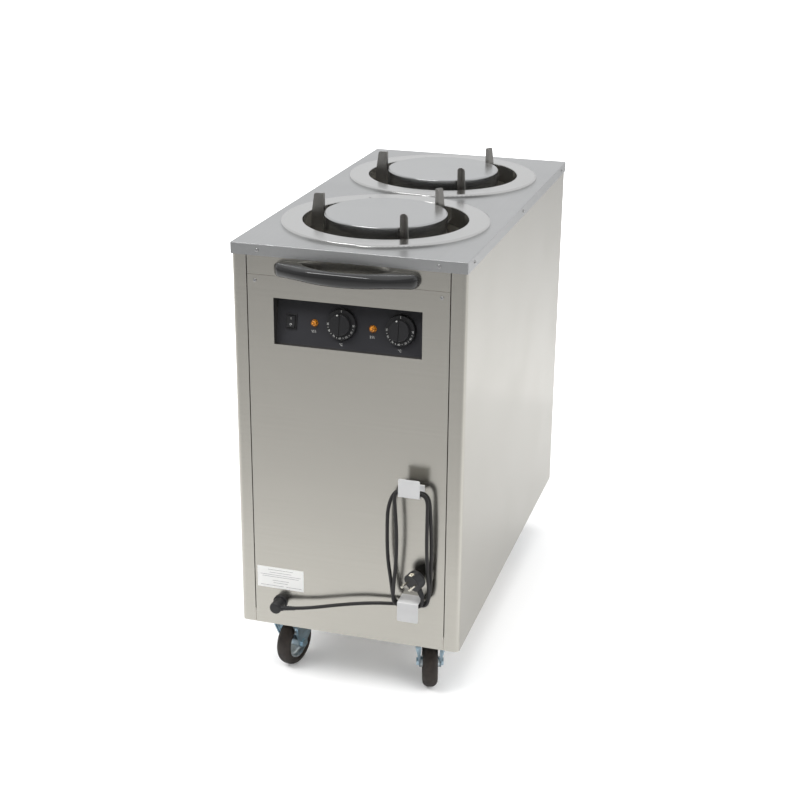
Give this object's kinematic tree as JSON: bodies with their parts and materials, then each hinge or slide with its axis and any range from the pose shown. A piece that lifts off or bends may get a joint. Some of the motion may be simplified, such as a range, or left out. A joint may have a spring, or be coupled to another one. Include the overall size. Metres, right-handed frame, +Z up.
{
  "type": "plate dispenser cart",
  "caption": "Heated stainless steel cart with sprung wells that lift stacked plates to the deck, with controls, push handle, wound mains cord and swivel casters.",
  "frame": {"origin": "on the floor under the middle of the cart's outline, push handle included, cord left out", "axes": "+Z up, -Y towards the side with the handle and the controls, +X to that side's right"},
  "size_m": [0.4536, 0.948, 0.95],
  "materials": {
    "panel_steel": "brushed stainless steel",
    "deck_steel": "brushed stainless steel",
    "polished_steel": "bright spun stainless steel",
    "inner_steel": "plain mill-finish steel",
    "screw_steel": "bright steel",
    "spring_steel": "oiled spring steel",
    "heater_sheath": "dull heat-tinted sheath",
    "black_gloss": "gloss black",
    "black_matte": "satin black",
    "fascia_black": "fine matt charcoal",
    "rocker_white": "gloss black with white marks",
    "amber": "clear amber lens",
    "hook_grey": "pale grey powder coat",
    "label_white": "matt film",
    "cord_black": "satin rubber",
    "brass_pins": "nickel-plated brass",
    "zinc": "bright zinc plate",
    "zinc_pale": "bright zinc plate",
    "tyre_rubber": "moulded rubber"
  },
  "bodies": {
    "cabinet": {"base_plate": "inner_steel", "side_panel_left": "panel_steel", "side_panel_right": "panel_steel", "rear_panel": "panel_steel", "front_top_rail": "panel_steel", "front_service_panel": "panel_steel", "deck_top": "deck_steel", "casing_screws": "screw_steel", "control_housing": "panel_steel", "control_fascia": "fascia_black", "switch_housing": "black_matte", "heating_lamp_left": "amber", "heating_lamp_right": "amber", "thermostats": "black_matte", "push_handle": "black_gloss", "cord_hook_upper": "hook_grey", "cord_hook_lower": "hook_grey", "rating_label": "label_white", "cable_gland": "black_matte", "power_cord_lead": "cord_black", "power_cord_hank": "cord_black", "plug_body": "cord_black", "plug_pins": "brass_pins", "well_collar_front": "polished_steel", "well_tube_front": "inner_steel", "guide_rails_front": "inner_steel", "heater_front": "heater_sheath", "lift_springs_front": "spring_steel", "well_collar_rear": "polished_steel", "well_tube_rear": "inner_steel", "guide_rails_rear": "inner_steel", "heater_rear": "heater_sheath", "lift_springs_rear": "spring_steel", "caster_mount_front_left": "zinc", "caster_mount_front_right": "zinc", "caster_mount_rear_left": "zinc", "caster_mount_rear_right": "zinc"},
    "lift_front": {"platform_front": "polished_steel", "carriage_front": "inner_steel"},
    "lift_rear": {"platform_rear": "polished_steel", "carriage_rear": "inner_steel"},
    "knob_left": {"thermostat_knob_left": "black_gloss"},
    "knob_right": {"thermostat_knob_right": "black_gloss"},
    "rocker": {"power_rocker": "rocker_white"},
    "swivel_front_left": {"caster_fork_front_left": "zinc"},
    "wheel_front_left": {"caster_rim_front_left": "zinc_pale", "caster_tyre_front_left": "tyre_rubber"},
    "swivel_front_right": {"caster_fork_front_right": "zinc"},
    "wheel_front_right": {"caster_rim_front_right": "zinc_pale", "caster_tyre_front_right": "tyre_rubber"},
    "swivel_rear_left": {"caster_fork_rear_left": "zinc"},
    "wheel_rear_left": {"caster_rim_rear_left": "zinc_pale", "caster_tyre_rear_left": "tyre_rubber"},
    "brake_rear_left": {"brake_pedal_rear_left": "zinc"},
    "swivel_rear_right": {"caster_fork_rear_right": "zinc"},
    "wheel_rear_right": {"caster_rim_rear_right": "zinc_pale", "caster_tyre_rear_right": "tyre_rubber"},
    "brake_rear_right": {"brake_pedal_rear_right": "zinc"}
  },
  "joints": [
    {"name": "lift_front_slide", "type": "slide", "parent": "cabinet", "child": "lift_front", "axis": [0, 0, 1], "range_m": [-0.43, 0], "stiffness_N_per_m": 600, "springref_m": 0.08, "deforming": ["lift_springs_front"]},
    {"name": "lift_rear_slide", "type": "slide", "parent": "cabinet", "child": "lift_rear", "axis": [0, 0, 1], "range_m": [-0.43, 0], "stiffness_N_per_m": 600, "springref_m": 0.08, "deforming": ["lift_springs_rear"]},
    {"name": "knob_left_turn", "type": "hinge", "parent": "cabinet", "child": "knob_left", "pos_m": [-0.016, -0.40041, 0.76076], "axis": [0, -0.9759, 0.2181], "range_deg": [-270, 0]},
    {"name": "knob_right_turn", "type": "hinge", "parent": "cabinet", "child": "knob_right", "pos_m": [0.097, -0.40041, 0.76076], "axis": [0, -0.9759, 0.2181], "range_deg": [-270, 0]},
    {"name": "rocker_tilt", "type": "hinge", "parent": "cabinet", "child": "rocker", "pos_m": [-0.1145, -0.40117, 0.75735], "axis": [1, 0, 0], "range_deg": [-8, 8]},
    {"name": "swivel_front_left_turn", "type": "hinge", "parent": "cabinet", "child": "swivel_front_left", "pos_m": [-0.136, -0.3095, 0.126], "axis": [0, 0, 1], "continuous": true},
    {"name": "wheel_front_left_roll", "type": "hinge", "parent": "swivel_front_left", "child": "wheel_front_left", "pos_m": [-0.14328, -0.34374, 0.05], "axis": [0.9781, -0.2079, 0], "continuous": true},
    {"name": "swivel_front_right_turn", "type": "hinge", "parent": "cabinet", "child": "swivel_front_right", "pos_m": [0.136, -0.3095, 0.126], "axis": [0, 0, 1], "continuous": true},
    {"name": "wheel_front_right_roll", "type": "hinge", "parent": "swivel_front_right", "child": "wheel_front_right", "pos_m": [0.14623, -0.34297, 0.05], "axis": [0.9563, 0.2924, 0], "continuous": true},
    {"name": "swivel_rear_left_turn", "type": "hinge", "parent": "cabinet", "child": "swivel_rear_left", "pos_m": [-0.136, 0.3565, 0.126], "axis": [0, 0, 1], "continuous": true},
    {"name": "wheel_rear_left_roll", "type": "hinge", "parent": "swivel_rear_left", "child": "wheel_rear_left", "pos_m": [-0.12932, 0.32214, 0.05], "axis": [0.9816, 0.1908, 0], "continuous": true},
    {"name": "brake_rear_left_press", "type": "hinge", "parent": "swivel_rear_left", "child": "brake_rear_left", "pos_m": [-0.1215, 0.2819, 0.097], "axis": [0.9816, 0.1908, 0], "range_deg": [0, 16]},
    {"name": "swivel_rear_right_turn", "type": "hinge", "parent": "cabinet", "child": "swivel_rear_right", "pos_m": [0.136, 0.3565, 0.126], "axis": [0, 0, 1], "continuous": true},
    {"name": "wheel_rear_right_roll", "type": "hinge", "parent": "swivel_rear_right", "child": "wheel_rear_right", "pos_m": [0.12753, 0.32254, 0.05], "axis": [0.9703, -0.2419, 0], "continuous": true},
    {"name": "brake_rear_right_press", "type": "hinge", "parent": "swivel_rear_right", "child": "brake_rear_right", "pos_m": [0.11761, 0.28276, 0.097], "axis": [0.9703, -0.2419, 0], "range_deg": [0, 16]}
  ]
}
